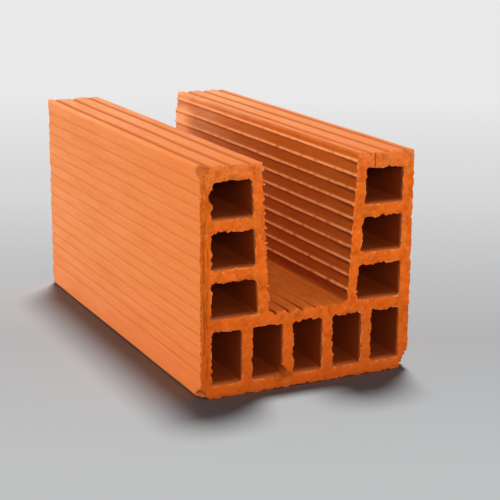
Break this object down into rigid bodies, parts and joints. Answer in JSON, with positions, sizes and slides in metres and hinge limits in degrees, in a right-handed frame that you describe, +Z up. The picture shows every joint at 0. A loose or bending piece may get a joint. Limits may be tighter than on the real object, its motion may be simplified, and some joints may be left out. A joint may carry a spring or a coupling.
{
  "type": "u-shaped lintel block",
  "caption": "Hollow fired clay lintel block with a U section: two tapered arms around an open channel for concrete, cells open at both ends and ribbed faces.",
  "frame": {"origin": "middle of the bed face, where the block rests", "axes": "+Y along the block's length and channel, +X across its width, +Z up out of the open channel"},
  "size_m": [0.2, 0.385, 0.196],
  "materials": {
    "fired_clay": "matte"
  },
  "bodies": {
    "root": {"lintel_block": "fired_clay"}
  },
  "joints": []
}
